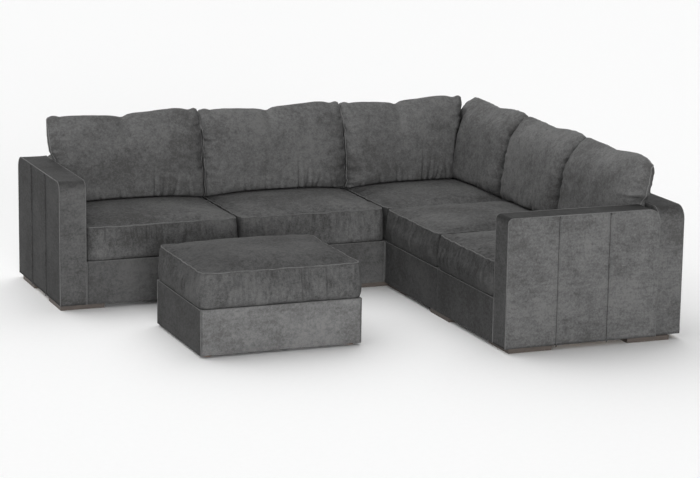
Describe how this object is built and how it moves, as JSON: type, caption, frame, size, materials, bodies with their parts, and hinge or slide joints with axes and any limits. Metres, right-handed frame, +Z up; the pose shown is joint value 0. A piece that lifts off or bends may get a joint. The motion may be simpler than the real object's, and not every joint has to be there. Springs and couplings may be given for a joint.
{
  "type": "sectional sofa",
  "caption": "Modular corner sofa with boxed seat cushions, loose back pillows, slab arms and backs on flat wooden shoes, and a matching loose ottoman.",
  "frame": {"origin": "on the floor under the middle of the whole layout's box", "axes": "+X along the row of three seats towards the wing, +Y from the seats' front to the row's back, +Z up"},
  "size_m": [2.9714, 2.5144, 0.9583],
  "materials": {
    "upholstery": "matte",
    "timber": "matte",
    "foam": "matte",
    "webbing": "matte",
    "shoe_wood": "satin",
    "peg_plastic": "matte",
    "clamp_steel": "satin",
    "dust_cloth": "matte"
  },
  "bodies": {
    "root": {"left_seat_frame": "timber", "left_seat_deck": "webbing", "left_seat_base_cover": "upholstery", "middle_seat_frame": "timber", "middle_seat_deck": "webbing", "middle_seat_base_cover": "upholstery", "corner_seat_frame": "timber", "corner_seat_deck": "webbing", "corner_seat_base_cover": "upholstery", "wing_seat_frame": "timber", "wing_seat_deck": "webbing", "wing_seat_base_cover": "upholstery", "end_seat_frame": "timber", "end_seat_deck": "webbing", "end_seat_base_cover": "upholstery", "left_arm_frame": "timber", "left_arm_pad": "foam", "left_arm_cover": "upholstery", "rear_back_left_frame": "timber", "rear_back_left_pad": "foam", "rear_back_left_cover": "upholstery", "rear_back_middle_frame": "timber", "rear_back_middle_pad": "foam", "rear_back_middle_cover": "upholstery", "rear_back_right_frame": "timber", "rear_back_right_pad": "foam", "rear_back_right_cover": "upholstery", "wing_back_corner_frame": "timber", "wing_back_corner_pad": "foam", "wing_back_corner_cover": "upholstery", "wing_back_middle_frame": "timber", "wing_back_middle_pad": "foam", "wing_back_middle_cover": "upholstery", "wing_back_end_frame": "timber", "wing_back_end_pad": "foam", "wing_back_end_cover": "upholstery", "right_arm_frame": "timber", "right_arm_pad": "foam", "right_arm_cover": "upholstery", "shoes": "shoe_wood", "sofa_pegs": "peg_plastic", "clamps": "clamp_steel", "dust_cloths": "dust_cloth"},
    "ottoman": {"ottoman_frame": "timber", "ottoman_deck": "webbing", "ottoman_base_cover": "upholstery", "ottoman_pegs": "peg_plastic", "ottoman_dust_cloth": "dust_cloth"},
    "left_cushion": {"left_seat_cushion": "upholstery"},
    "middle_cushion": {"middle_seat_cushion": "upholstery"},
    "corner_cushion": {"corner_seat_cushion": "upholstery"},
    "wing_cushion": {"wing_seat_cushion": "upholstery"},
    "end_cushion": {"end_seat_cushion": "upholstery"},
    "ottoman_cushion": {"ottoman_cushion": "upholstery"},
    "left_pillow_body": {"left_pillow": "upholstery"},
    "middle_pillow_body": {"middle_pillow": "upholstery"},
    "corner_rear_pillow_body": {"corner_rear_pillow": "upholstery"},
    "corner_side_pillow_body": {"corner_side_pillow": "upholstery"},
    "wing_pillow_body": {"wing_pillow": "upholstery"},
    "end_pillow_body": {"end_pillow": "upholstery"}
  },
  "joints": [
    {"name": "left_cushion_lift", "type": "slide", "parent": "root", "child": "left_cushion", "axis": [0, 0, 1], "range_m": [0, 0.3]},
    {"name": "middle_cushion_lift", "type": "slide", "parent": "root", "child": "middle_cushion", "axis": [0, 0, 1], "range_m": [0, 0.3]},
    {"name": "corner_cushion_lift", "type": "slide", "parent": "root", "child": "corner_cushion", "axis": [0, 0, 1], "range_m": [0, 0.3]},
    {"name": "wing_cushion_lift", "type": "slide", "parent": "root", "child": "wing_cushion", "axis": [0, 0, 1], "range_m": [0, 0.3]},
    {"name": "end_cushion_lift", "type": "slide", "parent": "root", "child": "end_cushion", "axis": [0, 0, 1], "range_m": [0, 0.3]},
    {"name": "left_pillow_lift", "type": "slide", "parent": "left_cushion", "child": "left_pillow_body", "axis": [0, 0.165, 0.9863], "range_m": [0, 0.45]},
    {"name": "middle_pillow_lift", "type": "slide", "parent": "middle_cushion", "child": "middle_pillow_body", "axis": [0, 0.165, 0.9863], "range_m": [0, 0.45]},
    {"name": "corner_rear_pillow_lift", "type": "slide", "parent": "corner_cushion", "child": "corner_rear_pillow_body", "axis": [0, 0.165, 0.9863], "range_m": [0, 0.45]},
    {"name": "corner_side_pillow_lift", "type": "slide", "parent": "corner_cushion", "child": "corner_side_pillow_body", "axis": [0.165, 0, 0.9863], "range_m": [0, 0.45]},
    {"name": "wing_pillow_lift", "type": "slide", "parent": "wing_cushion", "child": "wing_pillow_body", "axis": [0.165, 0, 0.9863], "range_m": [0, 0.45]},
    {"name": "end_pillow_lift", "type": "slide", "parent": "end_cushion", "child": "end_pillow_body", "axis": [0.165, 0, 0.9863], "range_m": [0, 0.45]},
    {"name": "ottoman_slide", "type": "slide", "parent": "root", "child": "ottoman", "axis": [0, 1, 0], "range_m": [-0.6, 0.45]},
    {"name": "ottoman_cushion_lift", "type": "slide", "parent": "ottoman", "child": "ottoman_cushion", "axis": [0, 0, 1], "range_m": [0, 0.3]}
  ]
}
